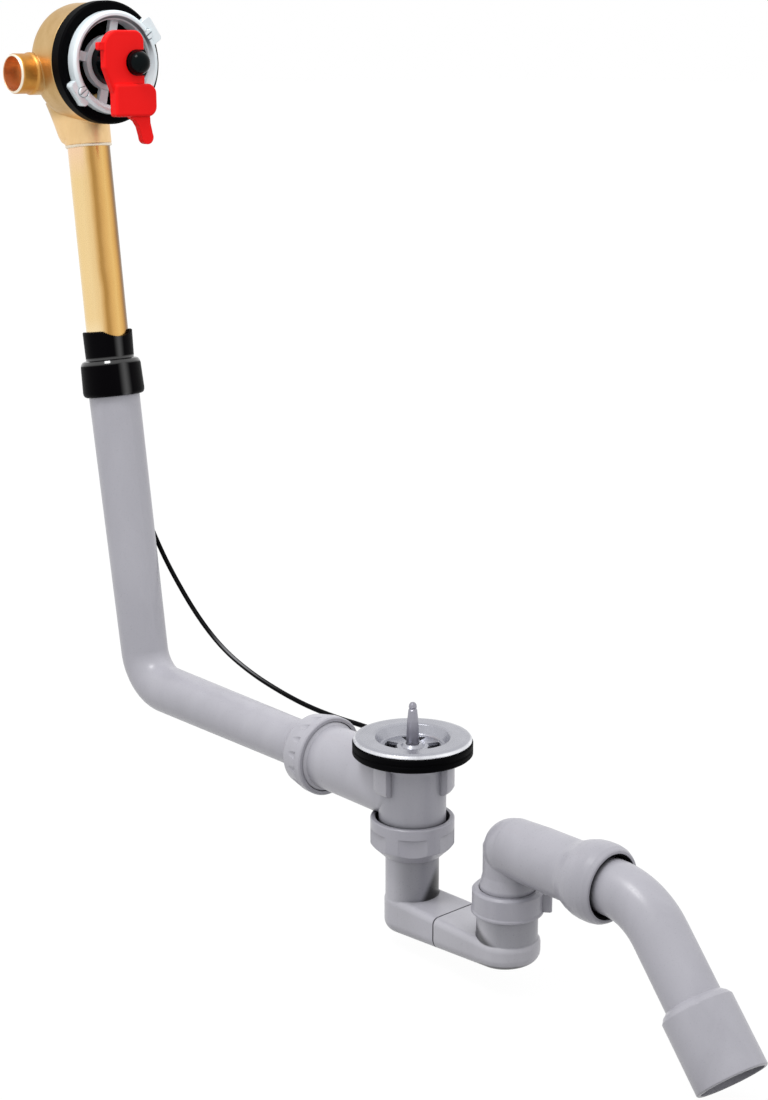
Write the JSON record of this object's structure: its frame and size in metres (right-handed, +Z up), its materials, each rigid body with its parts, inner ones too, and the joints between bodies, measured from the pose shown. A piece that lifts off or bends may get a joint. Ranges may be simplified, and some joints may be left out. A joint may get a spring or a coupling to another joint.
{
  "type": "bath waste and overflow",
  "caption": "Bath waste with a bath-filler overflow casting on a riser, a cable that lifts the plug pin, a low trap and a swivelling outlet bend.",
  "frame": {"origin": "centre of the bath's waste hole, where the underside of the flange meets its seal", "axes": "+Z up along the waste, +X from the overflow towards the outlet, so the water stub points to -Y"},
  "size_m": [0.6227, 0.0909, 0.5523],
  "materials": {
    "flange_steel": "satin",
    "seal_rubber": "smooth",
    "grey_plastic": "satin",
    "brass": "cast and drawn",
    "chrome": "bright",
    "black_plastic": "gloss",
    "guard_red": "satin",
    "wire_steel": "bright",
    "cable_black": "smooth",
    "lever_plastic": "satin",
    "pin_steel": "satin"
  },
  "bodies": {
    "waste": {"waste_flange": "flange_steel", "waste_seal": "seal_rubber", "waste_body": "grey_plastic", "trap_nut": "grey_plastic", "trap_cone_seal": "seal_rubber", "overflow_nut": "grey_plastic", "overflow_cone_seal": "seal_rubber", "waste_gland": "brass", "control_cable": "cable_black"},
    "overflow": {"overflow_pipe": "grey_plastic", "coupling_sleeve": "seal_rubber", "riser_tube": "brass", "overflow_body": "brass", "rear_cap": "brass", "overflow_seal": "seal_rubber", "clamp_ring": "chrome", "clamp_screws": "chrome", "spindle_bush": "black_plastic", "fitting_guard": "guard_red", "head_gland": "brass", "head_wire": "wire_steel"},
    "spindle": {"control_spindle": "black_plastic", "spindle_seal": "seal_rubber", "cable_pulley": "black_plastic"},
    "rocker": {"rocker_shaft": "wire_steel", "shaft_seal": "seal_rubber", "lift_finger": "lever_plastic", "cable_lever": "lever_plastic"},
    "wire": {"wire_end": "wire_steel"},
    "pin": {"lift_pin": "pin_steel"},
    "trap": {"trap_inlet": "grey_plastic", "trap_outlet": "grey_plastic", "riser_nut": "grey_plastic", "riser_cone_seal": "seal_rubber"},
    "elbow": {"outlet_elbow": "grey_plastic", "outlet_seal": "seal_rubber"},
    "bend": {"outlet_bend": "grey_plastic"}
  },
  "joints": [
    {"name": "overflow_reach", "type": "slide", "parent": "waste", "child": "overflow", "axis": [-0.9999, 0, 0.0122], "range_m": [-0.008, 0.015], "deforming": ["control_cable"]},
    {"name": "spindle_turn", "type": "hinge", "parent": "overflow", "child": "spindle", "pos_m": [-0.32453, 0, 0.38598], "axis": [1, 0, 0], "range_deg": [0, 90]},
    {"name": "rocker_turn", "type": "hinge", "parent": "waste", "child": "rocker", "pos_m": [-0.0135, 0, -0.032], "axis": [0, -1, 0], "range_deg": [0, 44]},
    {"name": "wire_pull", "type": "slide", "parent": "waste", "child": "wire", "axis": [-1, 0, 0], "range_m": [0, 0.01212]},
    {"name": "pin_lift", "type": "slide", "parent": "waste", "child": "pin", "axis": [0, 0, 1], "range_m": [0, 0.01011]},
    {"name": "trap_swivel", "type": "hinge", "parent": "waste", "child": "trap", "pos_m": [0, 0, -0.06], "axis": [0, 0, 1], "range_deg": [-90, 90]},
    {"name": "elbow_swivel", "type": "hinge", "parent": "trap", "child": "elbow", "pos_m": [0.0795, 0, -0.07], "axis": [0, 0, 1], "range_deg": [-60, 60]},
    {"name": "bend_turn", "type": "hinge", "parent": "elbow", "child": "bend", "pos_m": [0.14, 0, -0.0413], "axis": [1, 0, 0], "range_deg": [-90, 90]}
  ],
  "couplings": [
    {"joint": "spindle_turn", "follows": "pin_lift", "rad_per_m": 155.31},
    {"joint": "rocker_turn", "follows": "pin_lift", "rad_per_m": 75.925},
    {"joint": "wire_pull", "follows": "pin_lift", "ratio": 1.1984}
  ]
}
